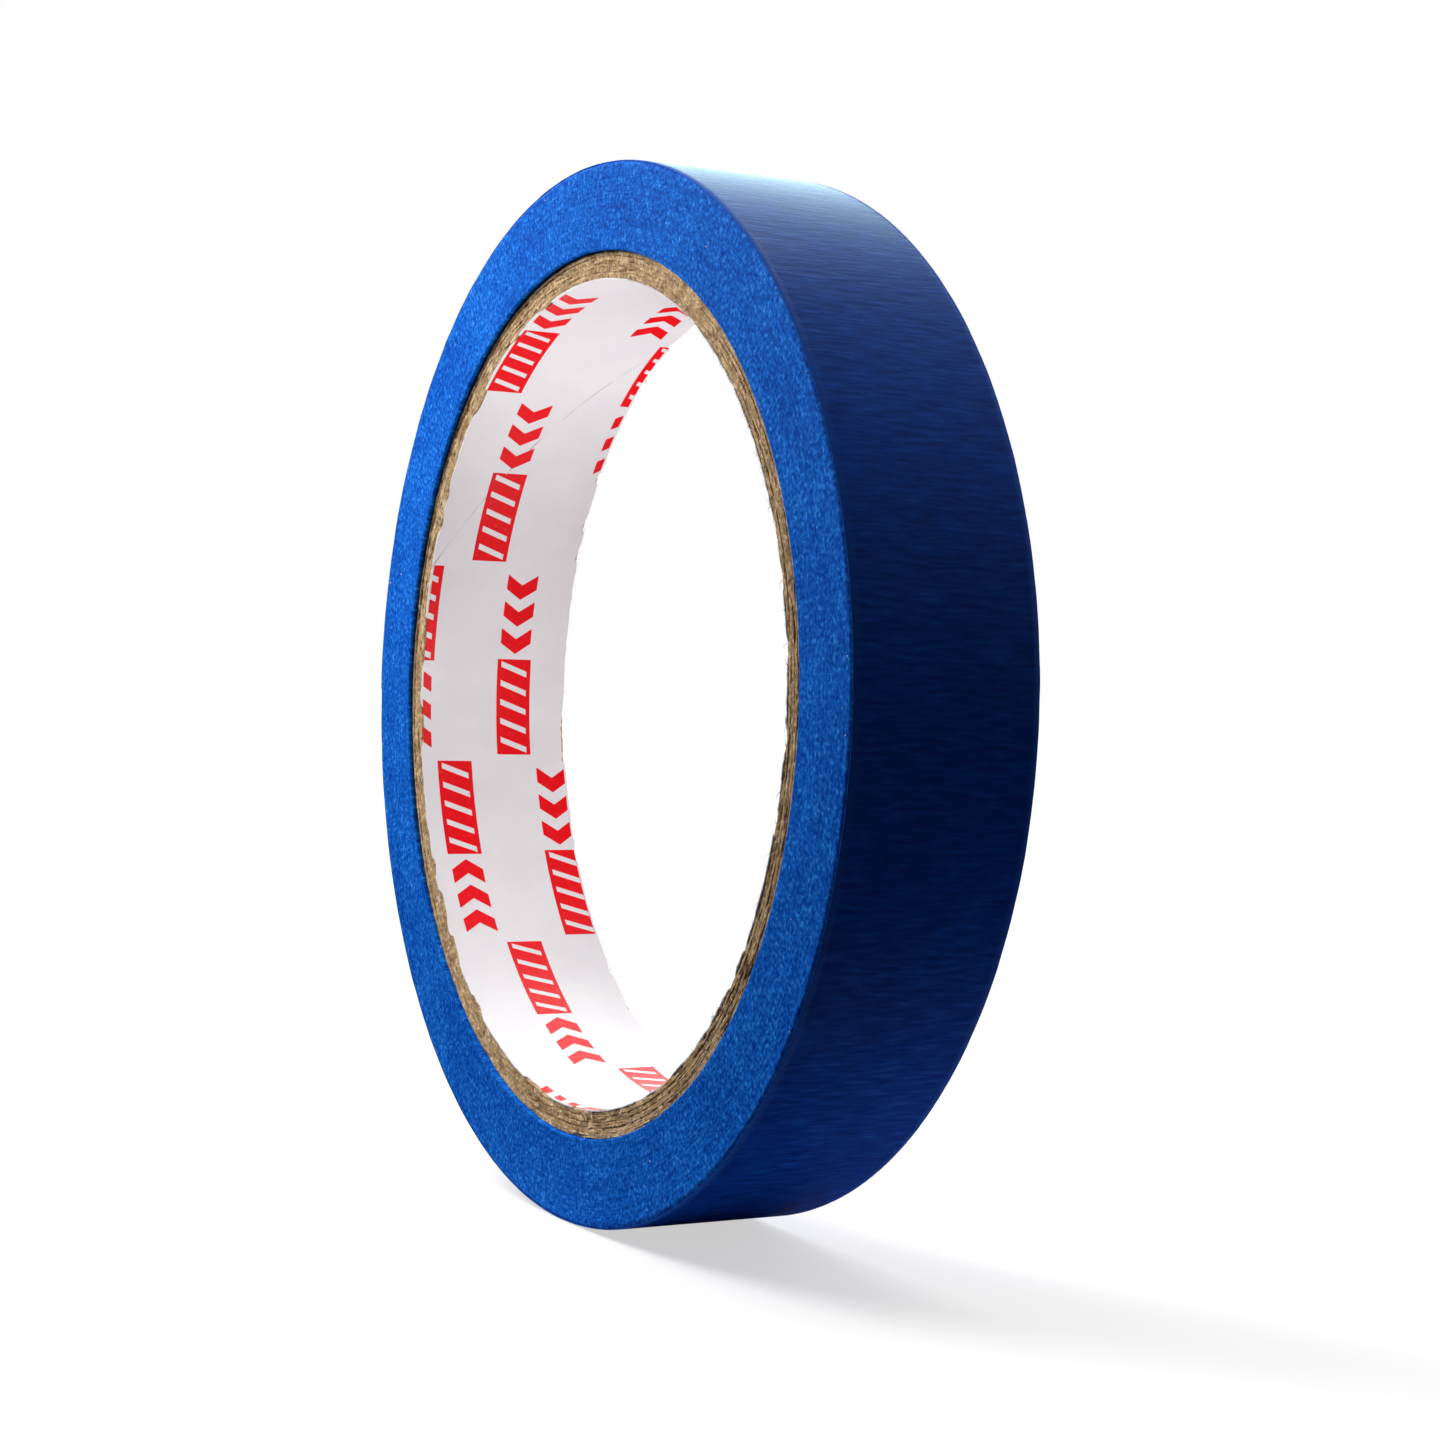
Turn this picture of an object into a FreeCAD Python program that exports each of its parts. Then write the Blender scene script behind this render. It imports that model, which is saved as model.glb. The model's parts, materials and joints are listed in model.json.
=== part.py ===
import FreeCAD, Part
import math
import os

# Masking tape roll standing on its edge.
# Frame: millimetres, +Y along the core's axis, +Z up, origin at the centre of the
# core's bore, half way across the tape's width.

# ---- driving dimensions ----
core_bore_radius = 38.1        # 3 inch core
liner_thickness = 0.15         # white printed paper, the innermost ply
ply_thickness = 0.5            # each brown kraft paper ply
ply_count = 5
tape_width = 17.6
core_recess = 0.4              # how far the core's ends lie inside the tape's side faces
roll_outer_radius = 48.9       # at the free end of the tape
backing_thickness = 0.10       # creped paper
adhesive_thickness = 0.03
end_angle = 180.0              # where the tape's free end lies, from +X towards +Z
end_length = 48.0              # the stretch of tape that lifts off the roll
end_links = 10                 # short stretches that the lifting end is divided into
end_gap = 0.04                 # air between the lifting end and the turn beneath it

# ---- worked out from them ----
core_length = tape_width - 2 * core_recess
core_radius = core_bore_radius + liner_thickness + ply_count * ply_thickness
tape_thickness = backing_thickness + adhesive_thickness
half_turn = 180.0
full_turn = 360.0

# Wound tape grows by one thickness in every turn. Each turn is two half circles: the
# older half is centred on the core, and the newer half on a point half a thickness
# towards the free end, so that the two halves meet with no step.
older_centre = 0.0
newer_centre = tape_thickness / 2
older_radius = roll_outer_radius - tape_thickness
newer_radius = roll_outer_radius - tape_thickness / 2
join_angle = end_angle - half_turn

link_angle = math.degrees(end_length / end_links / newer_radius)
lift_angle = end_angle - end_links * link_angle


def section_point(centre, radius, angle):
    """A point on the roll's front face, at an angle around a centre that lies
    some way from the core's axis towards the tape's free end."""
    towards_end = math.radians(end_angle)
    turn = math.radians(angle)
    x = centre * math.cos(towards_end) + radius * math.cos(turn)
    z = centre * math.sin(towards_end) + radius * math.sin(turn)
    return FreeCAD.Vector(x, -tape_width / 2, z)


def section_arc(centre, radius, start, end):
    """An arc on the front face from one angle to another."""
    points = [section_point(centre, radius, angle) for angle in (start, (start + end) / 2, end)]
    return Part.Arc(*points).toShape()


def across_width(edges):
    """A solid as wide as the tape, from the closed outline of its section."""
    outline = Part.Wire(edges)
    return Part.Face(outline).extrude(FreeCAD.Vector(0, tape_width, 0))


def tube(inner_radius, outer_radius, length):
    """A plain tube about the core's axis, centred on the origin."""
    foot = FreeCAD.Vector(0, -length / 2, 0)
    along = FreeCAD.Vector(0, 1, 0)
    outside = Part.makeCylinder(outer_radius, length, foot, along)
    inside = Part.makeCylinder(inner_radius, length, foot, along)
    return outside.cut(inside)


def core_liner():
    return tube(core_bore_radius, core_bore_radius + liner_thickness, core_length)


def core_ply(number):
    """One kraft paper ply, numbered from 1 on the inside."""
    inner_radius = core_bore_radius + liner_thickness + (number - 1) * ply_thickness
    return tube(inner_radius, inner_radius + ply_thickness, core_length)


def wound_tape():
    """Every turn of tape but the last, with the step that the last turn starts from."""
    depth = tape_thickness
    arcs = [
        section_arc(older_centre, older_radius - depth, join_angle - half_turn, join_angle),
        section_arc(newer_centre, newer_radius - depth, join_angle, lift_angle),
        section_arc(newer_centre, newer_radius - depth, lift_angle, end_angle),
    ]
    step_top = section_point(newer_centre, newer_radius - depth, end_angle)
    step_foot = section_point(older_centre, older_radius - depth, end_angle - full_turn)
    step = Part.LineSegment(step_top, step_foot).toShape()
    hole = Part.makeCylinder(
        core_radius, tape_width, FreeCAD.Vector(0, -tape_width / 2, 0), FreeCAD.Vector(0, 1, 0)
    )
    return across_width(arcs + [step]).cut(hole)


def outer_turn():
    """The last turn of tape, from the step to the place where the end lifts off."""
    depth = tape_thickness
    start = join_angle - half_turn
    outside = [
        section_arc(older_centre, older_radius, start, join_angle),
        section_arc(newer_centre, newer_radius, join_angle, lift_angle),
    ]
    inside = [
        section_arc(newer_centre, newer_radius - depth, lift_angle, join_angle),
        section_arc(older_centre, older_radius - depth, join_angle, start),
    ]
    lift_edge = Part.LineSegment(
        section_point(newer_centre, newer_radius, lift_angle),
        section_point(newer_centre, newer_radius - depth, lift_angle),
    ).toShape()
    start_edge = Part.LineSegment(
        section_point(older_centre, older_radius - depth, start),
        section_point(older_centre, older_radius, start),
    ).toShape()
    return across_width(outside + [lift_edge] + inside + [start_edge])


def end_layer(number, top, bottom):
    """One layer of one stretch of the lifting end, numbered from 1 at the roll.
    top and bottom are the layer's depths below the strip's outer face."""
    surface = newer_radius + end_gap
    start = lift_angle + (number - 1) * link_angle
    end = start + link_angle
    far_edge = Part.LineSegment(
        section_point(newer_centre, surface - top, end),
        section_point(newer_centre, surface - bottom, end),
    ).toShape()
    near_edge = Part.LineSegment(
        section_point(newer_centre, surface - bottom, start),
        section_point(newer_centre, surface - top, start),
    ).toShape()
    return across_width([
        section_arc(newer_centre, surface - top, start, end),
        far_edge,
        section_arc(newer_centre, surface - bottom, end, start),
        near_edge,
    ])


def all_pieces():
    """Every piece of the roll, by name."""
    pieces = {"core_liner": core_liner()}
    for number in range(1, ply_count + 1):
        pieces[f"core_ply_{number}"] = core_ply(number)
    pieces["wound_tape"] = wound_tape()
    pieces["outer_turn"] = outer_turn()
    for number in range(1, end_links + 1):
        pieces[f"end_backing_{number}"] = end_layer(number, 0, backing_thickness)
        pieces[f"end_adhesive_{number}"] = end_layer(number, backing_thickness, tape_thickness)
    return pieces


os.makedirs("parts", exist_ok=True)
for name, shape in all_pieces().items():
    shape.exportStep(f"parts/{name}.step")
    print(f"{name}: {shape.Volume:.2f} mm3, valid {shape.isValid()}")

for number in range(1, end_links + 1):
    hinge = section_point(newer_centre, newer_radius + end_gap, lift_angle + (number - 1) * link_angle)
    print(f"hinge {number}: x {hinge.x:.4f} mm, z {hinge.z:.4f} mm")
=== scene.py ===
import json
import math

import bmesh
import bpy
import numpy as np
from mathutils import Matrix, Vector

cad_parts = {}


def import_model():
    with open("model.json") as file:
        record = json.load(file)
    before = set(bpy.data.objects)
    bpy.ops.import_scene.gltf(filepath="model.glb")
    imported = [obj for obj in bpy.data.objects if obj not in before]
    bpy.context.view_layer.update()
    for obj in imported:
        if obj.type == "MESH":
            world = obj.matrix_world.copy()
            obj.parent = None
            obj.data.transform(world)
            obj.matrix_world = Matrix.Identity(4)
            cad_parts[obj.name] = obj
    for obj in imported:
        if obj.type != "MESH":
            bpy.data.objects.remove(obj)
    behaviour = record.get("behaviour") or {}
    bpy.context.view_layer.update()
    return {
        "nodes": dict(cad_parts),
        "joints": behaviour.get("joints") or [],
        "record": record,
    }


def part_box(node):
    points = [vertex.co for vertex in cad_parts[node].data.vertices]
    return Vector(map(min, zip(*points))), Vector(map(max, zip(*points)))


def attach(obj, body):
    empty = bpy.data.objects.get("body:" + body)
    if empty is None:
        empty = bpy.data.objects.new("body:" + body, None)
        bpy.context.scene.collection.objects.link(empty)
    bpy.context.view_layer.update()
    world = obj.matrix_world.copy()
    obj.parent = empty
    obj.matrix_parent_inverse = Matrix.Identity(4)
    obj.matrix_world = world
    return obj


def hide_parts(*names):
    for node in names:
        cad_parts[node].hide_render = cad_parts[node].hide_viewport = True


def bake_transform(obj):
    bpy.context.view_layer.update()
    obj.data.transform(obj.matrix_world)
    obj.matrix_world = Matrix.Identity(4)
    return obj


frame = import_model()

MM = 0.001

# ---- places and sizes, from the frame ----
record = frame["record"]
joints = frame["joints"]
bore_radius = next(m for m in record["mounts"] if m["name"] == "core_bore")["dims"]["r_mm"] * MM
liner_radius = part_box("core_liner")[1].x
core_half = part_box("core_liner")[1].y
ply_nodes = sorted(name for name in frame["nodes"] if name.startswith("core_ply_"))
ply_radii = [liner_radius] + [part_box(name)[1].x for name in ply_nodes]
core_radius = ply_radii[-1]
tape_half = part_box("wound_tape")[1].y
older_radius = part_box("outer_turn")[1].x
tape_thickness = older_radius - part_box("wound_tape")[1].x
newer_centre = -tape_thickness / 2
newer_radius = older_radius + tape_thickness / 2
floor_height = -older_radius

hinges = [Vector(joint["pos_m"]) for joint in joints]
hinge_angles = [math.atan2(spot.z, spot.x - newer_centre) for spot in hinges]
lift_angle = hinge_angles[0]
link_angle = hinge_angles[1] - hinge_angles[0]
end_angle = lift_angle + link_angle * len(joints)
end_surface = math.hypot(hinges[0].x - newer_centre, hinges[0].z)
backing = 0.10 * MM

# ---- camera ----
camera_azimuth = math.radians(62.478)
camera_roll = math.radians(1.308)
camera_distance = 0.2427
camera_lens = 64.44
camera_shift = (0.0433, -0.0167)

# ---- stage light ----
background = (1.0, 1.0, 1.0)
sheen_tint = (0.82, 1.14, 1.14)
# The world's light by direction, from behind (-1) to the dark side in front (1), and its strength there.
dark_side = (0.70, -0.68, -0.15)
world_light = [
    (-0.95, 2.10), (-0.83, 1.66), (-0.68, 0.96), (-0.45, 0.76), (-0.20, 0.56), (0.24, 0.04),
]


# ---------------------------------------------------------------- mesh tools
def noise_field(seed, across_u, across_v):
    """Smooth seeded noise between -1 and 1 that repeats every 1 in u and in v."""
    knots = np.random.default_rng(seed).uniform(-1, 1, (across_u, across_v))

    def value(u, v):
        u = np.asarray(u) * across_u
        v = np.asarray(v) * across_v
        left = np.floor(u).astype(int)
        low = np.floor(v).astype(int)
        part_u = u - left
        part_v = v - low
        part_u = part_u * part_u * (3 - 2 * part_u)
        part_v = part_v * part_v * (3 - 2 * part_v)
        near = knots[left % across_u, low % across_v] * (1 - part_u)
        near = near + knots[(left + 1) % across_u, low % across_v] * part_u
        far = knots[left % across_u, (low + 1) % across_v] * (1 - part_u)
        far = far + knots[(left + 1) % across_u, (low + 1) % across_v] * part_u
        return near * (1 - part_v) + far * part_v

    return value


def build(name, points, faces, body="roll", sharp=35.0):
    """An object from corners and faces, turned so that its faces look outward."""
    points = np.asarray(points, float)
    first = points[[face[0] for face in faces]]
    volume = 0.0
    for corner in (1, 2):
        second = points[[face[corner] for face in faces]]
        third = points[[face[min(corner + 1, len(face) - 1)] for face in faces]]
        volume += np.einsum("ij,ij->", first, np.cross(second, third))
    if volume < 0:
        faces = [tuple(reversed(face)) for face in faces]
    mesh = bpy.data.meshes.new(name)
    mesh.from_pydata(points.tolist(), [], [tuple(int(i) for i in face) for face in faces])
    mesh.polygons.foreach_set("use_smooth", [True] * len(mesh.polygons))
    mesh.set_sharp_from_angle(angle=math.radians(sharp))
    mesh.update()
    piece = bpy.data.objects.new(name, mesh)
    bpy.context.scene.collection.objects.link(piece)
    if body:
        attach(piece, body)
    return piece


def loop_faces(rows, columns):
    """Faces of a grid that closes on itself both ways, like a ring."""
    row, column = np.meshgrid(np.arange(rows), np.arange(columns), indexing="ij")
    next_row = (row + 1) % rows
    next_column = (column + 1) % columns
    corners = np.stack([
        row * columns + column,
        next_row * columns + column,
        next_row * columns + next_column,
        row * columns + next_column,
    ], axis=-1)
    return corners.reshape(-1, 4)


def ring(name, angles, radius, across):
    """A closed ring whose section loop has the radius and place across given at each angle."""
    rows, columns = radius.shape
    turn = angles if angles.ndim == 2 else angles[:, None]
    points = np.stack([radius * np.cos(turn), across, radius * np.sin(turn)], axis=-1)
    return build(name, points.reshape(-1, 3), loop_faces(rows, columns))


def set_strip_place(piece, along, across):
    """Stores how far along the tape and across it each corner lies, in metres."""
    place = np.zeros((len(piece.data.vertices), 3), np.float32)
    place[:, 0] = along
    place[:, 1] = across
    attribute = piece.data.attributes.new("strip", "FLOAT_VECTOR", "POINT")
    attribute.data.foreach_set("vector", place.ravel())


# ---------------------------------------------------------------- the wound tape
turn_length = 2 * math.pi * newer_radius
crepe_wide = noise_field(11, 560, 4)
crepe_fine = noise_field(12, 1150, 9)
crepe_slow = noise_field(13, 60, 3)
crepe_depth = 0.020 * MM
crepe_spacing = 0.22 * MM
edge_round_mm = 0.55
edge_round = edge_round_mm * MM
core_edge_round = 0.15 * MM
core_edge_sink_mm = 0.06
covered_crepe = 0.8


def crepe(along, across):
    """How far the creped paper dips below its outer face. Its wrinkles lie across the tape."""
    u = along / turn_length
    v = across / (2 * tape_half) + 0.5
    height = 0.50 * crepe_wide(u, v) + 0.30 * crepe_fine(u, v) + 0.20 * crepe_slow(u, v)
    return crepe_depth * (0.5 - 0.5 * height)


def pack_radius(turn):
    """The outer radius of the inner turns, about the core's axis, at an angle from the step."""
    angle = end_angle + turn
    newer = turn >= math.pi
    centre = np.where(newer, newer_centre, 0.0)
    reach = np.where(newer, newer_radius, older_radius) - tape_thickness
    across = centre * np.sin(angle)
    return centre * np.cos(angle) + np.sqrt(reach * reach - across * across)


def wound_turns():
    """The inner turns: slit sides with fine turn ridges, and the creped face of the outermost one."""
    rows_around = 540
    ridges = 124
    step = 0.0008
    between = np.linspace(0, 2 * math.pi, rows_around)[1:-1]
    turn = np.concatenate([[step], between, [2 * math.pi - step]])
    angles = end_angle + turn
    top = pack_radius(turn)[:, None]
    share = np.linspace(0, 1, ridges)[None, :]
    radius = core_radius + (top - core_radius) * share
    u = (turn / (2 * math.pi))[:, None] + 0 * share
    v = share + 0 * u

    def side(seed):
        rng = np.random.default_rng(seed)
        ridge = rng.uniform(0, 1, ridges)[None, :] * (0.6 + 0.4 * noise_field(seed + 1, 24, 30)(u, v))
        swell = 0.5 + 0.5 * noise_field(seed + 2, 7, 8)(u, v)
        grain = 0.5 + 0.5 * noise_field(seed + 3, 260, 60)(u, v)
        from_top = top - radius
        from_core = radius - core_radius
        round_top = np.clip((edge_round - from_top - tape_thickness) / edge_round, 0, 1)
        round_core = np.clip(1 - from_core / core_edge_round, 0, 1)
        sink = 0.016 * ridge + 0.030 * swell + 0.014 * grain
        sink = sink + edge_round_mm * (1 - np.sqrt(1 - round_top ** 2))
        sink = sink + core_edge_sink_mm * round_core ** 2
        return tape_half - sink * MM

    front = side(21)
    back = side(31)
    across_count = 9
    mix = np.linspace(0, 1, across_count)[None, 1:-1]
    face_across = -front[:, -1:] * (1 - mix) + back[:, -1:] * mix
    face_radius = top - crepe(newer_radius * angles[:, None], face_across) * covered_crepe
    hole_across = back[:, :1] * (1 - mix) - front[:, :1] * mix
    hole_radius = core_radius + 0 * mix + 0 * top
    loops_radius = np.concatenate([radius, face_radius, radius[:, ::-1], hole_radius], axis=1)
    loops_across = np.concatenate([-front, face_across, back[:, ::-1], hole_across], axis=1)
    piece = ring("wound_turns", angles, loops_radius, loops_across)
    along = (angles[:, None] + 0 * loops_across) * newer_radius
    set_strip_place(piece, along.ravel(), loops_across.ravel())
    columns = loops_radius.shape[1]
    is_face = np.zeros(len(piece.data.polygons), np.int32).reshape(-1, columns)
    is_face[:, ridges - 1:ridges + across_count - 2] = 1
    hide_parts("wound_tape")
    return piece, is_face.ravel()


def strip(name, angles, centre, surface, top_depth, bottom_depth, body, end_trim=None):
    """A stretch of the tape that follows an arc, as a closed thin solid with a creped top.
    centre and surface are the arc's centre in x and its radius at each angle."""
    columns = 34
    edge_crowding = 1.25
    edge_inset = 0.135
    crown_start = 0.962
    crown_drop = 0.075 * MM
    lane = np.linspace(-1, 1, columns)
    lane = np.sign(lane) * (1 - (1 - np.abs(lane)) ** edge_crowding)
    edge = noise_field(41, 150, 2)(angles / (2 * math.pi), 0 * angles)
    half = tape_half - (edge_inset + 0.02 * edge) * MM
    across = half[:, None] * lane[None, :]
    turn = angles[:, None] + 0 * across
    if end_trim is not None:
        turn[-1] -= end_trim(lane)
    along = turn * newer_radius
    crown_share = np.clip((np.abs(lane) - crown_start) / (1 - crown_start), 0, 1)[None, :]
    crown = crown_drop * crown_share ** 2
    dip = crepe(along, across) + crown
    top = surface[:, None] - top_depth - dip * (1 if top_depth == 0 else 0)
    bottom = surface[:, None] - bottom_depth + 0 * top
    radius = np.concatenate([top, bottom[:, ::-1]], axis=1)
    turn = np.concatenate([turn, turn[:, ::-1]], axis=1)
    across = np.concatenate([across, across[:, ::-1]], axis=1)
    along = np.concatenate([along, along[:, ::-1]], axis=1)
    x = centre[:, None] + radius * np.cos(turn)
    points = np.stack([x, across, radius * np.sin(turn)], axis=-1)
    rows, loop = radius.shape
    faces = []
    for row in range(rows - 1):
        for column in range(loop):
            after = (column + 1) % loop
            here = row * loop
            faces.append((here + column, here + loop + column, here + loop + after, here + after))
    for row, flip in ((0, False), (rows - 1, True)):
        start = row * loop
        for column in range(columns - 1):
            under = start + loop - 1 - column
            face = (start + column, start + column + 1, under - 1, under)
            faces.append(tuple(reversed(face)) if flip else face)
    piece = build(name, points.reshape(-1, 3), faces, body)
    set_strip_place(piece, along.ravel(), across.ravel())
    return piece


def arc_samples(start, end, spacing):
    """Angles from start to end, this far apart along the tape."""
    count = max(2, int(round((end - start) * newer_radius / spacing)) + 1)
    return np.linspace(start, end, count)


first_blend = lift_angle - link_angle / 2


def outer_strip():
    """The last turn of tape, as far as the place where its end starts to lift."""
    step_clearance = 0.0005
    angles = arc_samples(end_angle - 2 * math.pi + step_clearance, first_blend, crepe_spacing)
    newer = angles >= end_angle - math.pi
    centre = np.where(newer, newer_centre, 0.0)
    surface = np.where(newer, newer_radius, older_radius)
    piece = strip("outer_strip", angles, centre, surface, 0, tape_thickness - 0.002 * MM, "roll")
    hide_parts("outer_turn")
    return [piece]


def torn_edge(lane):
    """How much shorter than its full length the tape's cut end is, as an angle."""
    rough = noise_field(51, 1, 46)(0 * lane, lane * 0.5 + 0.5)
    return (0.10 + 0.07 * rough) * MM / newer_radius


def lifting_end():
    """The free end: over each hinge a piece of backing and a piece of adhesive, from the middle of one
    stretch to the next.
    """
    backings = []
    coats = []
    for number, joint in enumerate(joints, start=1):
        middle = lift_angle + (number - 1) * link_angle
        start = middle - link_angle / 2
        last = number == len(joints)
        end = end_angle if last else middle + link_angle / 2
        angles = arc_samples(start, end, crepe_spacing)
        centre = 0 * angles + newer_centre
        rise = np.clip((angles - first_blend) / (link_angle / 2), 0, 1)
        surface = newer_radius + (end_surface - newer_radius) * rise * rise * (3 - 2 * rise)
        trim = torn_edge if last else None
        top = strip(f"backing_strip_{number}", angles, centre, surface, 0, backing, None, trim)
        coat = strip(
            f"adhesive_coat_{number}", angles, centre, surface, backing, tape_thickness, None, trim
        )
        for piece in (top, coat):
            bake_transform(piece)
        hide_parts(f"end_backing_{number}")
        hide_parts(f"end_adhesive_{number}")
        backings.append(top)
        coats.append(coat)
    return backings, coats


# ---------------------------------------------------------------- the core
def core_ply(number):
    """One kraft ply. Its cut ends are fibrous and lie a little in or out of its neighbours'."""
    rng = np.random.default_rng(60 + number)
    glue_gap = 0.006
    tape_gap = 0.045
    inner = ply_radii[number - 1] + glue_gap * MM
    outer = ply_radii[number] - (tape_gap if number == len(ply_nodes) else glue_gap) * MM
    angles = np.linspace(0, 2 * math.pi, 960, endpoint=False)
    u = (angles / (2 * math.pi))[:, None]
    share = np.array([0.0, 0.12, 0.34, 0.56, 0.80, 0.93, 1.0])[None, :]
    corner = np.array([1.0, 0.25, 0.0, 0.05, 0.0, 0.25, 1.0])[None, :]
    sides = []
    for side in range(2):
        inset = rng.uniform(0.02, 0.12)
        rough = noise_field(70 + 2 * number + side, 470, 9)(u + 0 * share, share + 0 * u)
        slow = noise_field(90 + 2 * number + side, 46, 3)(u + 0 * share, 0.3 * share + 0 * u)
        chips = noise_field(110 + 2 * number + side, 150, 4)(u + 0 * share, 0.4 * share + 0 * u)
        chips = np.clip(chips - 0.45, 0, 1)
        sink = inset + 0.035 * corner + 0.045 * (1 + rough) + 0.04 * (1 + slow) + 0.32 * chips
        sides.append(core_half - sink * MM)
    front, back = sides
    radius = inner + (outer - inner) * share + 0 * u
    piece = ring(
        f"kraft_ply_{number}", angles,
        np.concatenate([radius, radius[:, ::-1]], axis=1),
        np.concatenate([-front, back[:, ::-1]], axis=1),
    )
    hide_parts(ply_nodes[number - 1])
    return piece


# A seam in the ply behind shows through the liner as a faint slanting ridge.
seam_angle = math.radians(136.5)
seam_turn = math.radians(-39.5) / (14.0 * MM)


def liner_ridge(angles, across):
    """How far the liner stands in towards the axis over the seam behind it."""
    gap = (angles - seam_angle - seam_turn * across + math.pi) % (2 * math.pi) - math.pi
    distance = gap * bore_radius * math.cos(math.radians(28))
    lip = np.where(distance > 0, 0.45, 1.0)
    return 0.011 * MM * np.exp(-((distance / (0.17 * MM * lip)) ** 2))


liner_wave = noise_field(101, 26, 3)


def liner_face(angles, across):
    """The radius of the liner's printed face."""
    wave = liner_wave(angles / (2 * math.pi), across / (2 * core_half) + 0.5)
    return bore_radius + (0.006 + 0.006 * wave) * MM - liner_ridge(angles, across) + 0.02 * MM


def core_liner():
    """The white liner, a thin tube whose grid follows the slant of the seam behind it."""
    plain = np.linspace(0, 2 * math.pi, 600, endpoint=False)
    near = seam_angle + np.linspace(-1, 1, 33) * 0.9 * MM / bore_radius
    keep = np.abs(plain - seam_angle) > 1.05 * MM / bore_radius
    starts = np.sort(np.concatenate([plain[keep], near]))[:, None]
    lane = np.linspace(-1, 1, 22)[None, :]
    turn_share = starts / (2 * math.pi)
    halves = []
    for side in range(2):
        ragged = noise_field(103 + side, 330, 2)(turn_share, 0 * turn_share)
        torn = np.clip(noise_field(107 + side, 130, 2)(turn_share, 0 * turn_share) - 0.18, 0, 1)
        halves.append(core_half - (0.02 + 0.05 * (1 + ragged) + 0.50 * torn) * MM)
    half_front, half_back = halves
    across = np.where(lane < 0, half_front, half_back) * lane
    angles = starts + seam_turn * across
    inside = liner_face(angles, across)
    outside = liner_radius + 0 * inside
    piece = ring(
        "liner_sheet",
        np.concatenate([angles, angles[:, ::-1]], axis=1),
        np.concatenate([inside, outside], axis=1),
        np.concatenate([across, across[:, ::-1]], axis=1),
    )
    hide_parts("core_liner")
    return piece


# ---------------------------------------------------------------- the print on the liner
mark_length = 19.6
mark_pitch = math.radians(31.4)
mark_climb = 4.3
print_inset = 0.27
ink_lift = 0.014
ink_thickness = 0.008
slice_length = 0.6
# Each row: angle of one mark's middle, its place across, reads backwards, marks before it and after it.
print_rows = [
    (112.5, -6.3, False, 1, 4),
    (205.9, -4.65, True, 2, 4),
    (127.7, 9.1, True, 4, 1),
    (305.0, -4.6, False, 2, 4),
]


def motif():
    """One printed mark as convex shapes, in millimetres: three arrowheads, then a hatched bar."""
    shapes = []
    arrow_pitch = 2.95
    arrow_half = 1.75
    arrow_arm = 1.6
    arrow_lean = 1.15
    for number in range(3):
        left = 0.1 + arrow_pitch * number
        for side in (-1, 1):
            shapes.append([
                (left, arrow_half * side), (left + arrow_arm, arrow_half * side),
                (left + arrow_arm + arrow_lean, 0), (left + arrow_lean, 0),
            ])
    bar_start = 9.35
    bar_end = mark_length
    bar_half = 1.95
    tile_half = 1.5
    cap = 0.75
    gap = 0.62
    tile = (bar_end - bar_start - 2 * cap - 5 * gap) / 4
    for side in (-1, 1):
        shapes.append([
            (bar_start, bar_half * side), (bar_end, bar_half * side),
            (bar_end, tile_half * side), (bar_start, tile_half * side),
        ])
    slant = 0.55
    tiles = [(bar_start, bar_start + cap, 0, slant)]
    for number in range(4):
        left = bar_start + cap + gap + number * (tile + gap)
        tiles.append((left, left + tile, slant, slant))
    tiles.append((bar_end - cap, bar_end, slant, 0))
    for left, right, lean_left, lean_right in tiles:
        shapes.append([
            (left - lean_left, -tile_half), (right - lean_right, -tile_half),
            (right + lean_right, tile_half), (left + lean_left, tile_half),
        ])
    return shapes


def cut(shape, axis, limit, keep_above):
    """The part of a convex shape on one side of a line of constant x (axis 0) or y (axis 1)."""
    kept = []
    for start, end in zip(shape, shape[1:] + shape[:1]):
        inside_start = start[axis] >= limit if keep_above else start[axis] <= limit
        inside_end = end[axis] >= limit if keep_above else end[axis] <= limit
        if inside_start:
            kept.append(start)
        if inside_start != inside_end:
            share = (limit - start[axis]) / (end[axis] - start[axis])
            kept.append(tuple(a + (b - a) * share for a, b in zip(start, end)))
    return kept


def printed_marks():
    """The red print as flat shapes that lie on the liner's face and end short of its cut edges."""
    sheet_points = []
    sheet_faces = []
    edge = core_half / MM - print_inset
    mark_half = 2.0
    for middle, place, backwards, before, after in print_rows:
        for step in range(-before, after + 1):
            centre_angle = math.radians(middle) + step * mark_pitch
            centre_across = place + step * mark_climb
            if abs(centre_across) > edge + mark_half:
                continue
            for shape in motif():
                flip = -1 if backwards else 1
                placed = [(flip * (x - mark_length / 2), centre_across + flip * y) for x, y in shape]
                placed = cut(cut(placed, 1, edge, False), 1, -edge, True)
                if len(placed) < 3:
                    continue
                low = min(x for x, y in placed)
                high = max(x for x, y in placed)
                slices = max(1, math.ceil((high - low) / slice_length))
                for number in range(slices):
                    left = low + (high - low) * number / slices
                    right = low + (high - low) * (number + 1) / slices
                    part = cut(cut(placed, 0, left, True), 0, right, False)
                    if len(part) < 3:
                        continue
                    base = len(sheet_points)
                    for x, y in part:
                        sheet_points.append((centre_angle + x * MM / bore_radius, y * MM))
                    sheet_faces.append(list(range(base, base + len(part))))
    turn, across = np.array(sheet_points).T
    radius = liner_face(turn, across) - ink_lift * MM
    points = np.stack([radius * np.cos(turn), across, radius * np.sin(turn)], axis=-1)
    outline = bpy.data.meshes.new("printed_marks")
    outline.from_pydata(points.tolist(), [], sheet_faces)
    return outline


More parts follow.
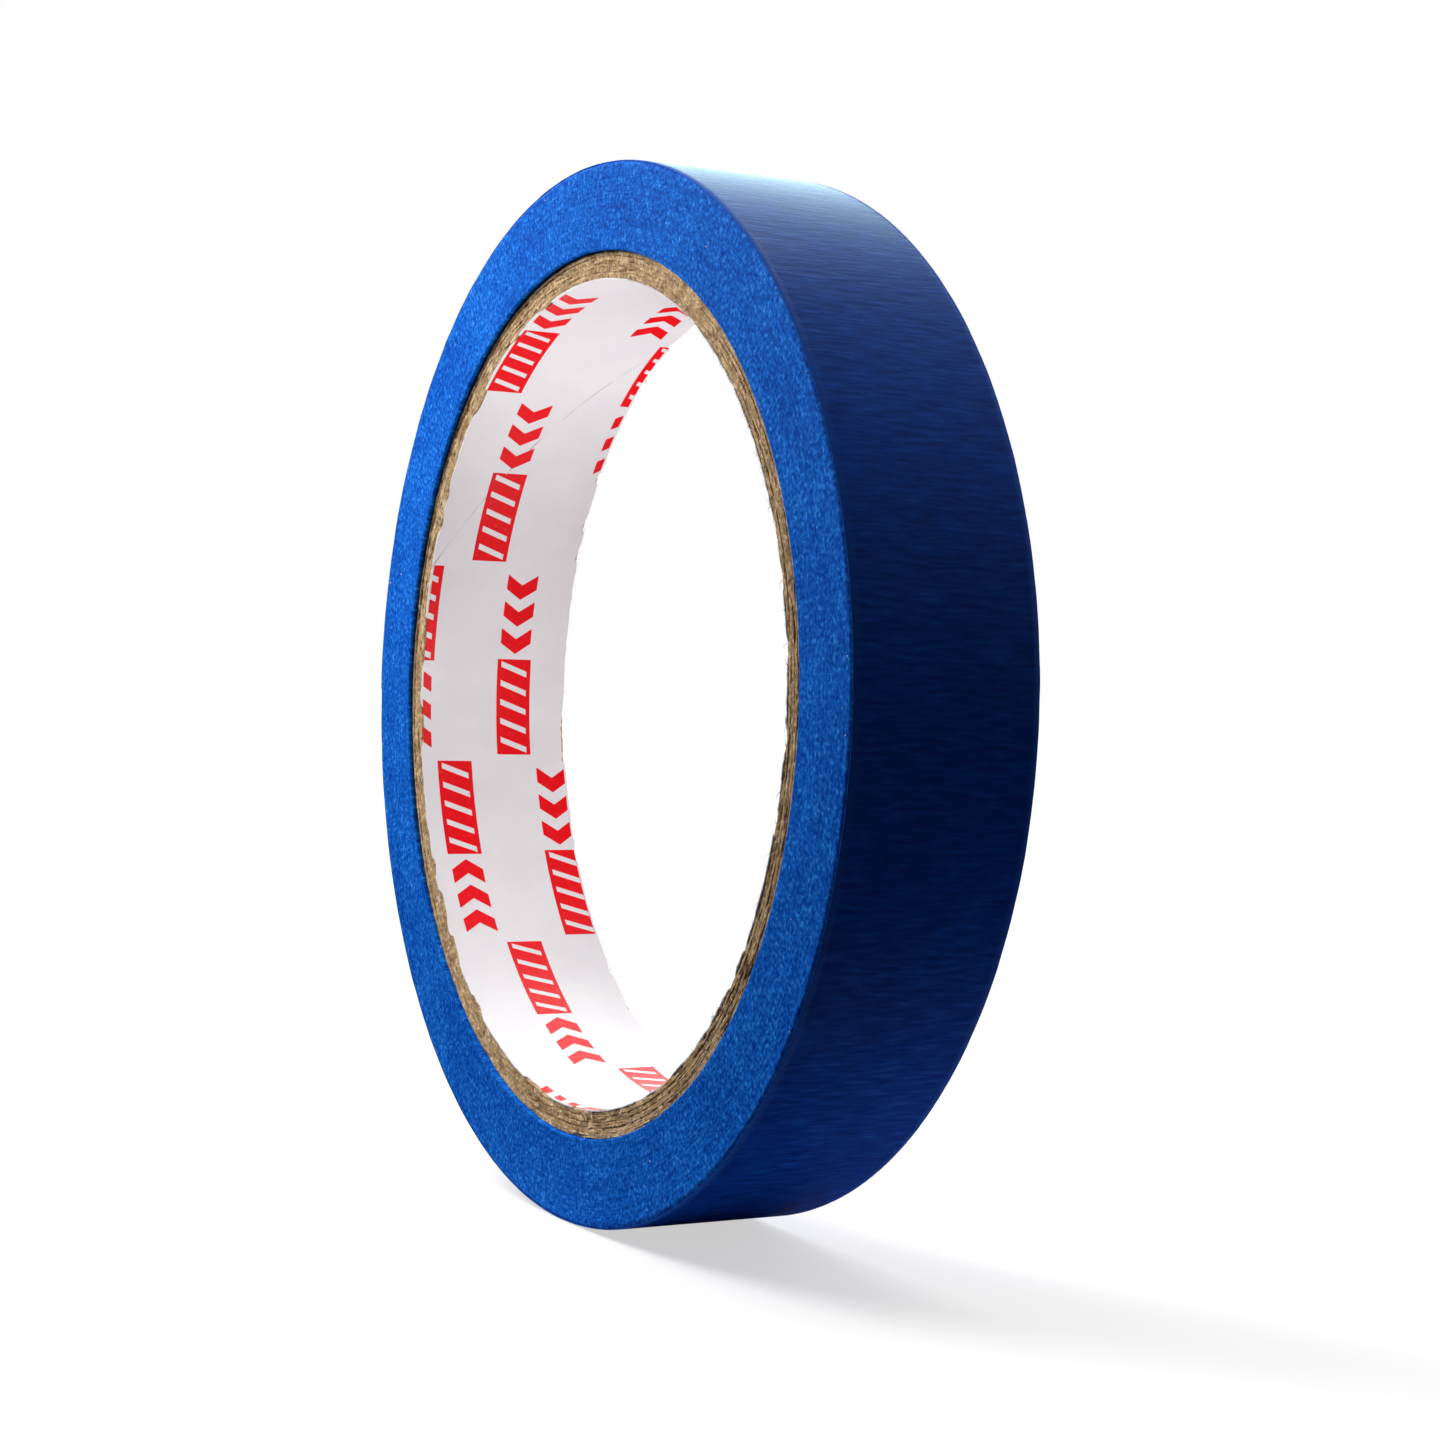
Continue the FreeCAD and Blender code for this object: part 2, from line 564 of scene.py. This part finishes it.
def ink():
    """The print as one piece: the flat marks, welded and given the thickness of the ink."""
    mesh = printed_marks()
    body = bmesh.new()
    body.from_mesh(mesh)
    bmesh.ops.remove_doubles(body, verts=body.verts, dist=0.002 * MM)
    bmesh.ops.dissolve_degenerate(body, edges=body.edges, dist=0.001 * MM)
    bmesh.ops.recalc_face_normals(body, faces=body.faces)
    for face in body.faces:
        inward = Vector((-face.calc_center_median().x, 0, -face.calc_center_median().z))
        if face.normal.dot(inward) < 0:
            face.normal_flip()
    bmesh.ops.solidify(body, geom=body.faces[:], thickness=-ink_thickness * MM)
    bmesh.ops.recalc_face_normals(body, faces=body.faces)
    body.to_mesh(mesh)
    body.free()
    piece = bpy.data.objects.new("printed_marks", mesh)
    bpy.context.scene.collection.objects.link(piece)
    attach(piece, "roll")
    return piece


# ---------------------------------------------------------------- loose fibres and specks
def fibres():
    """Short paper fibres that stand off the core's cut ends, most of them at the inner rim."""
    rng = np.random.default_rng(7)
    points = []
    faces = []
    fibre_count = 720
    for _ in range(fibre_count):
        angle = rng.uniform(0, 2 * math.pi)
        inner_rim = rng.uniform() < 0.6
        radius = bore_radius + (rng.uniform(0.05, 0.5) if inner_rim else rng.uniform(0.5, 2.5)) * MM
        side = 1 if rng.uniform() < 0.5 else -1
        root = side * (core_half - 0.12 * MM)
        start = np.array([radius * math.cos(angle), root, radius * math.sin(angle)])
        outward = start * [1, 0, 1] / radius
        around = np.array([-outward[2], 0, outward[0]])
        heading = around * rng.normal(0, 1) + outward * rng.normal(-0.15, 0.35)
        heading /= np.linalg.norm(heading)
        length = rng.uniform(0.25, 1.05) * MM
        thickness = rng.uniform(0.014, 0.040) * MM
        lift = rng.uniform(0.10, 0.34) * MM
        bend = rng.normal(0, 0.35)
        steps = 5
        base = len(points)
        for step in range(steps + 1):
            share = step / steps
            sideways = np.cross(heading, [0, 1, 0])
            spot = start + heading * length * share + sideways * length * bend * share * share
            spot = spot + np.array([0, side * lift * math.sin(share * 2.2), 0])
            spot_radius = math.hypot(spot[0], spot[2])
            least = bore_radius + 0.03 * MM
            if spot_radius < least:
                spot = spot * [least / spot_radius, 1, least / spot_radius]
            width = thickness * (1 - 0.75 * share)
            for corner in range(3):
                turn = corner * 2 * math.pi / 3
                upward = np.array([0, 1, 0]) * width * math.sin(turn)
                points.append(spot + sideways * width * math.cos(turn) + upward)
        for step in range(steps):
            for corner in range(3):
                after = (corner + 1) % 3
                a = base + step * 3
                faces.append((a + corner, a + after, a + 3 + after, a + 3 + corner))
        faces.append((base + 2, base + 1, base))
        tip = base + steps * 3
        faces.append((tip, tip + 1, tip + 2))
    piece = build("core_fibres", points, faces, sharp=80)
    return piece


def crumbs():
    """Specks of torn paper on the roll's sides, most of them close to the outer edge."""
    rng = np.random.default_rng(17)
    pack_top_mm = 48.77
    crumb_count = 34
    # Each spot: angle in degrees, radius in millimetres, and which side of the roll.
    spots = [
        (179.0, 48.25, -1), (189.5, 48.2, -1), (192.0, 48.0, -1), (176.2, 47.2, -1), (166.0, 47.9, -1),
    ]
    for number in range(crumb_count):
        near_edge = rng.uniform() < 0.7
        spots.append((
            rng.uniform(0, 360),
            48.3 - rng.exponential(0.5) if near_edge else rng.uniform(41.5, 47.5),
            1 if number % 2 else -1,
        ))
    points = []
    faces = []
    for degrees, radius, side in spots:
        angle = math.radians(degrees)
        size = rng.uniform(0.05, 0.11) * MM
        from_top = max(0.0, (edge_round_mm - (pack_top_mm - radius)) / edge_round_mm)
        sink = edge_round_mm * (1 - math.sqrt(1 - min(from_top, 0.99) ** 2)) + 0.035
        rest_on = side * (tape_half - sink * MM + size * 0.15)
        centre = np.array([radius * MM * math.cos(angle), rest_on, radius * MM * math.sin(angle)])
        base = len(points)
        rings = 3
        sides = 6
        stretch = rng.uniform(0.6, 1.5, 3)
        for level in range(rings):
            tilt = math.pi * (level + 1) / (rings + 1)
            for corner in range(sides):
                turn = 2 * math.pi * corner / sides
                reach = size * rng.uniform(0.65, 1.2)
                points.append(centre + reach * stretch * [
                    math.sin(tilt) * math.cos(turn), math.cos(tilt) * 0.6, math.sin(tilt) * math.sin(turn),
                ])
        points.append(centre + [0, size * 0.6, 0])
        points.append(centre - [0, size * 0.6, 0])
        top = base + rings * sides
        for corner in range(sides):
            after = (corner + 1) % sides
            faces.append((top, base + after, base + corner))
            for level in range(rings - 1):
                low = base + level * sides
                faces.append((low + corner, low + after, low + sides + after, low + sides + corner))
            last = base + (rings - 1) * sides
            faces.append((top + 1, last + corner, last + after))
    piece = build("paper_crumbs", points, faces, sharp=60)
    return piece


# ---------------------------------------------------------------- materials
class Finish:
    """A material under construction: a Principled shader and the nodes that feed it."""

    def __init__(self, name, roughness, specular=0.5):
        self.material = bpy.data.materials.new(name)
        self.material.use_nodes = True
        self.tree = self.material.node_tree
        self.shader = self.tree.nodes["Principled BSDF"]
        self.shader.inputs["Roughness"].default_value = roughness
        self.shader.inputs["Specular IOR Level"].default_value = specular

    def node(self, kind, links=None, **values):
        made = self.tree.nodes.new(kind)
        for key, value in values.items():
            if key in made.inputs:
                made.inputs[key].default_value = value
            else:
                setattr(made, key, value)
        for socket, source in (links or {}).items():
            self.tree.links.new(source, made.inputs[socket])
        return made

    def math(self, operation, first, second=None, third=None):
        made = self.tree.nodes.new("ShaderNodeMath")
        made.operation = operation
        for index, value in enumerate((first, second, third)):
            if value is None:
                continue
            if isinstance(value, (int, float)):
                made.inputs[index].default_value = value
            else:
                self.tree.links.new(value, made.inputs[index])
        return made.outputs[0]

    def combine(self, x, y, z):
        made = self.tree.nodes.new("ShaderNodeCombineXYZ")
        for index, value in enumerate((x, y, z)):
            if isinstance(value, (int, float)):
                made.inputs[index].default_value = value
            else:
                self.tree.links.new(value, made.inputs[index])
        return made.outputs[0]

    def scaled(self, parts, scales):
        """A vector whose parts are each multiplied by their own scale."""
        return self.combine(*(self.math("MULTIPLY", part, scale) for part, scale in zip(parts, scales)))

    def noise(self, vector, detail=3.0, roughness=0.55):
        made = self.node(
            "ShaderNodeTexNoise", {"Vector": vector}, Scale=1.0, Detail=detail, Roughness=roughness
        )
        return made.outputs["Fac"]

    def ramp(self, value, stops):
        made = self.node("ShaderNodeValToRGB", {"Fac": value})
        ramp = made.color_ramp
        while len(ramp.elements) < len(stops):
            ramp.elements.new(0.5)
        for element, (place, colour) in zip(ramp.elements, stops):
            element.position = place
            element.color = (*colour, 1.0)
        return made.outputs["Color"]

    def mix(self, share, first, second, blend="MIX"):
        made = self.tree.nodes.new("ShaderNodeMix")
        made.data_type = "RGBA"
        made.blend_type = blend
        for index, value in ((0, share), (6, first), (7, second)):
            if isinstance(value, (int, float)):
                made.inputs[index].default_value = value
            elif isinstance(value, tuple):
                made.inputs[index].default_value = (*value, 1.0)
            else:
                self.tree.links.new(value, made.inputs[index])
        return made.outputs[2]

    def bump(self, height, distance, strength=1.0, under=None):
        links = {"Height": height}
        if under is not None:
            links["Normal"] = under
        made = self.node("ShaderNodeBump", links, Strength=strength, Distance=distance)
        return made.outputs["Normal"]

    def feed(self, **sources):
        for name, source in sources.items():
            self.tree.links.new(source, self.shader.inputs[name.replace("_", " ")])

    def places(self):
        """x, y and z of the surface in the row's frame."""
        coordinates = self.tree.nodes.new("ShaderNodeTexCoord").outputs["Object"]
        split = self.node("ShaderNodeSeparateXYZ", {"Vector": coordinates})
        return split.outputs[0], split.outputs[1], split.outputs[2]

    def polar(self):
        """Radius, place across, and the two parts of the direction from the axis."""
        x, y, z = self.places()
        flat = self.combine(x, 0.0, z)
        length = self.node("ShaderNodeVectorMath", {0: flat}, operation="LENGTH").outputs["Value"]
        return length, y, self.math("DIVIDE", x, length), self.math("DIVIDE", z, length)


def side_finish():
    """Slit side of the roll: bright blue, short dashes round the roll and faint turn lines."""
    finish = Finish("slit_side_blue", 0.62, 0.012)
    radius, across, ux, uz = finish.polar()

    def round_noise(around, outward, detail=3.0):
        place = finish.math("MULTIPLY", radius, outward)
        place = finish.math("MULTIPLY_ADD", across, 150.0, place)
        vector = finish.combine(
            finish.math("MULTIPLY", ux, around), place, finish.math("MULTIPLY", uz, around)
        )
        return finish.noise(vector, detail)

    dashes = round_noise(112.0, 3500.0, 4.0)
    turns = round_noise(7.0, 5200.0, 2.0)
    cloud = round_noise(5.0, 160.0, 2.0)
    colour = finish.ramp(dashes, [
        (0.30, (0.0013, 0.055, 0.37)), (0.50, (0.0040, 0.120, 0.60)), (0.70, (0.020, 0.230, 0.85)),
    ])
    lines = finish.ramp(turns, [(0.30, (0.62, 0.66, 0.72)), (0.60, (1.0, 1.0, 1.0))])
    colour = finish.mix(0.55, colour, lines, "MULTIPLY")
    proud = round_noise(1.6, 1500.0, 2.0)
    edges = finish.ramp(proud, [
        (0.475, (1.0, 1.0, 1.0)), (0.50, (0.58, 0.62, 0.70)), (0.525, (1.0, 1.0, 1.0)),
    ])
    colour = finish.mix(0.6, colour, edges, "MULTIPLY")
    patches = finish.ramp(cloud, [(0.34, (0.70, 0.80, 0.88)), (0.66, (1.35, 1.16, 1.08))])
    colour = finish.mix(0.8, colour, patches, "MULTIPLY")
    mottle = finish.ramp(round_noise(26.0, 760.0, 3.0), [
        (0.36, (0.74, 0.84, 0.91)), (0.64, (1.30, 1.14, 1.08)),
    ])
    colour = finish.mix(0.75, colour, mottle, "MULTIPLY")
    speckle = finish.noise(finish.scaled((radius, ux, uz), (2000.0, 125.0, 125.0)), 2.0)
    bright = finish.ramp(speckle, [
        (0.37, (0.50, 0.70, 0.82)), (0.52, (1.0, 1.0, 1.0)), (0.66, (3.4, 1.60, 1.20)),
    ])
    colour = finish.mix(0.85, colour, bright, "MULTIPLY")
    normal = finish.bump(turns, 0.03 * MM, 0.5)
    normal = finish.bump(dashes, 0.035 * MM, 0.7, normal)
    roughness = finish.math("MULTIPLY_ADD", dashes, 0.25, 0.48)
    finish.feed(Base_Color=colour, Normal=normal, Roughness=roughness)
    return finish.material


def crepe_finish():
    """Saturated creped paper: deep blue with fine wrinkles across the tape and a satin sheen."""
    finish = Finish("creped_face_blue", 0.42, 0.10)
    place = finish.node("ShaderNodeAttribute", attribute_name="strip").outputs["Vector"]
    split = finish.node("ShaderNodeSeparateXYZ", {"Vector": place})
    along, across = split.outputs[0], split.outputs[1]

    def strip_noise(along_scale, across_scale, detail=3.0):
        vector = finish.combine(
            finish.math("MULTIPLY", along, along_scale), finish.math("MULTIPLY", across, across_scale), 0.0
        )
        return finish.noise(vector, detail)

    wrinkles = strip_noise(2600.0, 330.0, 4.0)
    streaks = strip_noise(420.0, 50.0, 3.0)
    cloud = strip_noise(60.0, 90.0, 2.0)
    fibre = strip_noise(5200.0, 3800.0, 2.0)
    colour = finish.ramp(wrinkles, [
        (0.30, (0.0015, 0.034, 0.270)), (0.52, (0.0025, 0.056, 0.410)), (0.74, (0.0060, 0.095, 0.580)),
    ])
    soft = finish.ramp(streaks, [(0.30, (0.78, 0.80, 0.84)), (0.70, (1.0, 1.0, 1.0))])
    colour = finish.mix(0.8, colour, soft, "MULTIPLY")
    patches = finish.ramp(cloud, [(0.30, (0.82, 0.84, 0.88)), (0.70, (1.0, 1.0, 1.0))])
    colour = finish.mix(0.8, colour, patches, "MULTIPLY")
    # Painted edge light: near both edges of the creped face the colour turns a brighter, deeper blue that
    # stands for light caught by the rounded edge. The same share also makes the edge matte.
    edge_light_start = 7.55 * MM
    edge_light_width = 0.85 * MM
    ragged = strip_noise(900.0, 0.0, 2.0)
    reach = finish.math("MULTIPLY_ADD", ragged, 0.5 * MM, edge_light_start)
    past = finish.math("SUBTRACT", finish.math("ABSOLUTE", across), reach)
    from_edge = finish.math("DIVIDE", past, edge_light_width)
    edge_light_and_matte = finish.math("POWER", finish.math("MAXIMUM", from_edge, 0.0), 1.6)
    colour = finish.mix(finish.math("MINIMUM", edge_light_and_matte, 0.75), colour, (0.0045, 0.095, 0.52))
    normal = finish.bump(fibre, 0.010 * MM, 0.4)
    normal = finish.bump(wrinkles, 0.045 * MM, 0.7, normal)
    roughness = finish.math("MULTIPLY_ADD", wrinkles, 0.20, 0.10)
    roughness = finish.math("MULTIPLY_ADD", finish.math("MINIMUM", edge_light_and_matte, 1.0), 0.60, roughness)
    finish.feed(Base_Color=colour, Normal=normal, Roughness=roughness)
    return finish.material


def kraft_finish():
    """Brown core board: fibres that run round the core, darker lines between the plies."""
    finish = Finish("kraft_board", 0.85, 0.2)
    radius, across, ux, uz = finish.polar()

    def board_noise(around, outward, sideways, detail, roughness=0.55):
        place = finish.math("MULTIPLY_ADD", across, sideways, finish.math("MULTIPLY", radius, outward))
        vector = finish.combine(
            finish.math("MULTIPLY", ux, around), place, finish.math("MULTIPLY", uz, around)
        )
        return finish.noise(vector, detail, roughness)

    fibre = board_noise(95.0, 4000.0, 900.0, 4.0, 0.65)
    blotch = board_noise(26.0, 700.0, 300.0, 3.0)
    specks = board_noise(112.0, 2500.0, 1600.0, 3.0, 0.6)
    colour = finish.ramp(fibre, [
        (0.28, (0.290, 0.180, 0.086)), (0.50, (0.510, 0.340, 0.178)), (0.72, (0.730, 0.560, 0.355)),
    ])
    flecks = finish.ramp(specks, [
        (0.32, (0.28, 0.23, 0.19)), (0.44, (0.92, 0.92, 0.92)),
        (0.56, (1.05, 1.05, 1.05)), (0.68, (1.7, 1.80, 1.86)),
    ])
    colour = finish.mix(0.80, colour, flecks, "MULTIPLY")
    tone = finish.ramp(blotch, [
        (0.32, (0.60, 0.52, 0.43)), (0.50, (0.92, 0.88, 0.83)), (0.68, (1.30, 1.32, 1.34)),
    ])
    colour = finish.mix(0.9, colour, tone, "MULTIPLY")
    normal = finish.bump(fibre, 0.05 * MM, 0.8)
    normal = finish.bump(specks, 0.10 * MM, 0.8, normal)
    finish.feed(Base_Color=colour, Normal=normal)
    return finish.material


def liner_finish():
    """Glossy white paper with a faint grey line over the seam behind it."""
    finish = Finish("liner_white", 0.30, 0.5)
    x, y, z = finish.places()
    radius, across, ux, uz = finish.polar()
    angle = finish.math("ARCTAN2", z, x)
    offset = finish.math("SUBTRACT", angle, finish.math("MULTIPLY_ADD", across, seam_turn, seam_angle))
    distance = finish.math("ABSOLUTE", finish.math("MULTIPLY", offset, bore_radius))
    line_width = 0.20 * MM
    from_line = finish.math("MINIMUM", finish.math("DIVIDE", distance, line_width), 1.0)
    near_line = finish.math("SUBTRACT", 1.0, from_line)
    broken = finish.noise(finish.combine(0.0, finish.math("MULTIPLY", across, 420.0), 0.0), 2.0)
    patchy = finish.math("MAXIMUM", finish.math("MULTIPLY_ADD", broken, 5.0, -2.1), 0.06)
    line = finish.math("MINIMUM", finish.math("MULTIPLY", near_line, patchy), 0.85)
    smudge = finish.noise(finish.scaled((ux, across, uz), (9.0, 160.0, 9.0)), 4.0)
    grain = finish.noise(finish.scaled((x, y, z), (2600.0, 2600.0, 2600.0)), 2.0)
    colour = finish.ramp(smudge, [(0.30, (0.785, 0.76, 0.785)), (0.70, (0.83, 0.81, 0.83))])
    colour = finish.mix(line, colour, (0.30, 0.27, 0.28))
    normal = finish.bump(smudge, 0.03 * MM, 0.4)
    normal = finish.bump(grain, 0.004 * MM, 0.5, normal)
    roughness = finish.math("MULTIPLY_ADD", smudge, 0.12, 0.24)
    finish.feed(Base_Color=colour, Normal=normal, Roughness=roughness)
    return finish.material


def ink_finish():
    """Red print with a few paler specks."""
    finish = Finish("print_red", 0.36, 0.22)
    speckle = finish.noise(finish.scaled(finish.places(), (1500.0, 1500.0, 1500.0)), 4.0, 0.7)
    colour = finish.ramp(speckle, [
        (0.25, (0.80, 0.05, 0.06)), (0.40, (0.86, 0.002, 0.008)), (0.8, (0.76, 0.001, 0.005)),
    ])
    roughness = finish.math("MULTIPLY_ADD", speckle, 0.2, 0.22)
    finish.feed(Base_Color=colour, Roughness=roughness, Normal=finish.bump(speckle, 0.004 * MM, 0.5))
    return finish.material


def adhesive_finish():
    """The tacky underside: the blue paper seen through a clear, slightly uneven coat."""
    finish = Finish("adhesive_tacky", 0.25, 0.5)
    place = finish.node("ShaderNodeAttribute", attribute_name="strip").outputs["Vector"]
    split = finish.node("ShaderNodeSeparateXYZ", {"Vector": place})
    along, across = split.outputs[0], split.outputs[1]
    vector = finish.combine(
        finish.math("MULTIPLY", along, 1800.0), finish.math("MULTIPLY", across, 500.0), 0.0
    )
    orange_peel = finish.noise(vector, 3.0)
    colour = finish.ramp(orange_peel, [(0.3, (0.050, 0.130, 0.360)), (0.7, (0.105, 0.230, 0.520))])
    roughness = finish.math("MULTIPLY_ADD", orange_peel, 0.3, 0.12)
    finish.feed(Base_Color=colour, Roughness=roughness, Normal=finish.bump(orange_peel, 0.02 * MM, 0.6))
    return finish.material


def fibre_finish():
    """Loose fibres and crumbs, from pale paper to brown board."""
    finish = Finish("loose_fibre", 0.8, 0.2)
    tone = finish.noise(finish.scaled(finish.places(), (700.0, 700.0, 700.0)), 1.0)
    colour = finish.ramp(tone, [(0.32, (0.36, 0.27, 0.17)), (0.58, (0.86, 0.83, 0.78))])
    finish.feed(Base_Color=colour)
    return finish.material


# ---------------------------------------------------------------- stage, light and camera
def floor_finish():
    """The camera sees a pale floor that turns to even white away from the roll. Bounced light comes
    from a floor that is bright only close to the roll on its lit side. Reflections see it dark."""
    made = bpy.data.materials.new("pale_floor")
    made.use_nodes = True
    tree = made.node_tree
    tree.nodes.clear()

    def ramp(source, low, high, first, last):
        node = tree.nodes.new("ShaderNodeMapRange")
        node.interpolation_type = "SMOOTHSTEP"
        node.inputs["From Min"].default_value = low
        node.inputs["From Max"].default_value = high
        node.inputs["To Min"].default_value = first
        node.inputs["To Max"].default_value = last
        tree.links.new(source, node.inputs["Value"])
        return node.outputs["Result"]

    def mix(share, first, second):
        node = tree.nodes.new("ShaderNodeMixShader")
        tree.links.new(share, node.inputs[0])
        tree.links.new(first, node.inputs[1])
        tree.links.new(second, node.inputs[2])
        return node.outputs[0]

    place = tree.nodes.new("ShaderNodeNewGeometry").outputs["Position"]
    split = tree.nodes.new("ShaderNodeSeparateXYZ")
    tree.links.new(place, split.inputs[0])
    away = tree.nodes.new("ShaderNodeVectorMath")
    away.operation = "LENGTH"
    tree.links.new(place, away.inputs[0])
    near = tree.nodes.new("ShaderNodeBsdfDiffuse")
    near.inputs["Color"].default_value = (0.86, 0.86, 0.865, 1.0)
    far = tree.nodes.new("ShaderNodeEmission")
    far.inputs["Color"].default_value = (*background, 1.0)
    far.inputs["Strength"].default_value = 1.06
    bounce = tree.nodes.new("ShaderNodeBsdfDiffuse")
    under = tree.nodes.new("ShaderNodeMath")
    under.operation = "MULTIPLY"
    # Each ramp: the source's low and high, then the result at each.
    close_by = ramp(away.outputs["Value"], 0.056, 0.100, 0.85, 0.03)
    lit_side = ramp(split.outputs[1], -0.024, 0.004, 0.04, 1.0)
    # Painted light: for the camera the floor partly glows, an even white that lightens the roll's shadow
    # close by and takes over fully away from the roll.
    whiten = ramp(away.outputs["Value"], 0.06, 0.24, 0.55, 1.0)
    tree.links.new(close_by, under.inputs[0])
    tree.links.new(lit_side, under.inputs[1])
    tree.links.new(under.outputs[0], bounce.inputs["Color"])
    seen = mix(whiten, near.outputs[0], far.outputs[0])
    dark = tree.nodes.new("ShaderNodeBsdfDiffuse")
    dark.inputs["Color"].default_value = (0.03, 0.03, 0.03, 1.0)
    path = tree.nodes.new("ShaderNodeLightPath").outputs
    unseen = mix(path["Is Diffuse Ray"], dark.outputs[0], bounce.outputs[0])
    output = tree.nodes.new("ShaderNodeOutputMaterial")
    tree.links.new(mix(path["Is Camera Ray"], unseen, seen), output.inputs["Surface"])
    return made


def floor():
    """A large round pale floor under the roll."""
    corners = 96
    reach = 6.0
    mesh = bpy.data.meshes.new("floor")
    turns = [2 * math.pi * number / corners for number in range(corners)]
    rim = [(reach * math.cos(turn), reach * math.sin(turn), floor_height) for turn in turns]
    mesh.from_pydata(rim, [], [range(corners)])
    plane = bpy.data.objects.new("floor", mesh)
    bpy.context.scene.collection.objects.link(plane)
    plane.data.materials.append(floor_finish())


def world():
    """The camera sees an even white. The roll is lit mostly from behind, and its reflections are cool."""
    made = bpy.data.worlds.new("studio")
    made.use_nodes = True
    tree = made.node_tree
    nodes = tree.nodes
    nodes.clear()
    output = nodes.new("ShaderNodeOutputWorld")
    seen = nodes.new("ShaderNodeBackground")
    seen.inputs["Color"].default_value = (*background, 1.0)
    light = nodes.new("ShaderNodeBackground")
    mix = nodes.new("ShaderNodeMixShader")
    path = nodes.new("ShaderNodeLightPath")
    coordinates = nodes.new("ShaderNodeTexCoord")
    facing = nodes.new("ShaderNodeVectorMath")
    facing.operation = "DOT_PRODUCT"
    facing.inputs[1].default_value = dark_side
    share = nodes.new("ShaderNodeMapRange")
    share.inputs["From Min"].default_value = -1.0
    ramp = nodes.new("ShaderNodeValToRGB")
    brightest = world_light[0][1]
    light.inputs["Strength"].default_value = brightest
    while len(ramp.color_ramp.elements) < len(world_light):
        ramp.color_ramp.elements.new(0.5)
    for element, (direction, value) in zip(ramp.color_ramp.elements, world_light):
        element.position = (direction + 1) / 2
        element.color = (value / brightest, value / brightest, value / brightest, 1.0)
    sheen = nodes.new("ShaderNodeMix")
    sheen.data_type = "RGBA"
    sheen.blend_type = "MULTIPLY"
    sheen.inputs[7].default_value = (*sheen_tint, 1.0)
    tree.links.new(coordinates.outputs["Generated"], facing.inputs[0])
    tree.links.new(facing.outputs["Value"], share.inputs["Value"])
    tree.links.new(share.outputs["Result"], ramp.inputs["Fac"])
    tree.links.new(path.outputs["Is Glossy Ray"], sheen.inputs[0])
    tree.links.new(ramp.outputs["Color"], sheen.inputs[6])
    tree.links.new(sheen.outputs[2], light.inputs["Color"])
    tree.links.new(path.outputs["Is Camera Ray"], mix.inputs[0])
    tree.links.new(light.outputs[0], mix.inputs[1])
    tree.links.new(seen.outputs[0], mix.inputs[2])
    tree.links.new(mix.outputs[0], output.inputs[0])
    bpy.context.scene.world = made


def lamp(name, kind, place, target, power, **settings):
    """A light at a place, aimed at a target, that the camera itself doesn't see."""
    data = bpy.data.lights.new(name, kind)
    data.energy = power
    for key, value in settings.items():
        setattr(data, key, value)
    made = bpy.data.objects.new(name, data)
    made.location = place
    made.rotation_euler = (Vector(target) - Vector(place)).to_track_quat("-Z", "Y").to_euler()
    made.visible_camera = False
    bpy.context.scene.collection.objects.link(made)


def lights():
    lamp("sky", "SUN", (-0.28, 0.05, 0.96), (0, 0, 0), 1.5, angle=math.radians(50))
    lamp("key", "AREA", (-0.105, -0.115, 0.130), (0, 0, 0), 0.56, shape="DISK", size=0.12)
    lamp("inside_left", "SPOT", (0.030, 0, -0.004), (-0.0375, 0, -0.0040), 0.092,
         spot_size=math.radians(58), spot_blend=0.9, shadow_soft_size=0.008)
    lamp("inside_up", "SPOT", (0.002, 0, -0.030), (-0.002, 0, 0.038), 0.145,
         spot_size=math.radians(76), spot_blend=0.9, shadow_soft_size=0.008)


def camera():
    """The camera of the photo, as fitted to the outlines of the bore, the core and both rims."""
    toward = Vector((math.sin(camera_azimuth), -math.cos(camera_azimuth), 0.0))
    right = Vector((0, 0, 1)).cross(toward).normalized()
    up = toward.cross(right)
    level_right = right * math.cos(camera_roll) + up * math.sin(camera_roll)
    level_up = up * math.cos(camera_roll) - right * math.sin(camera_roll)
    turn = Matrix((level_right, level_up, toward)).transposed().to_4x4()
    data = bpy.data.cameras.new("camera")
    data.lens = camera_lens
    data.sensor_width = 36.0
    data.shift_x, data.shift_y = camera_shift
    data.clip_start = 0.005
    made = bpy.data.objects.new("camera", data)
    made.matrix_world = Matrix.Translation(toward * camera_distance) @ turn
    bpy.context.scene.collection.objects.link(made)
    bpy.context.scene.camera = made


def dress(pieces, material):
    for piece in pieces:
        piece.data.materials.clear()
        piece.data.materials.append(material)


crepe_material = crepe_finish()
side_material = side_finish()
turns, turn_slots = wound_turns()
dress([turns], side_material)
turns.data.materials.append(crepe_material)
turns.data.polygons.foreach_set("material_index", turn_slots)
backings, coats = lifting_end()
dress(outer_strip() + backings, crepe_material)
dress(coats, adhesive_finish())
dress([core_ply(number) for number in range(1, len(ply_nodes) + 1)], kraft_finish())
dress([core_liner()], liner_finish())
dress([ink()], ink_finish())
dress([fibres(), crumbs()], fibre_finish())
floor()
world()
lights()
camera()
bpy.context.scene.view_settings.view_transform = "Standard"
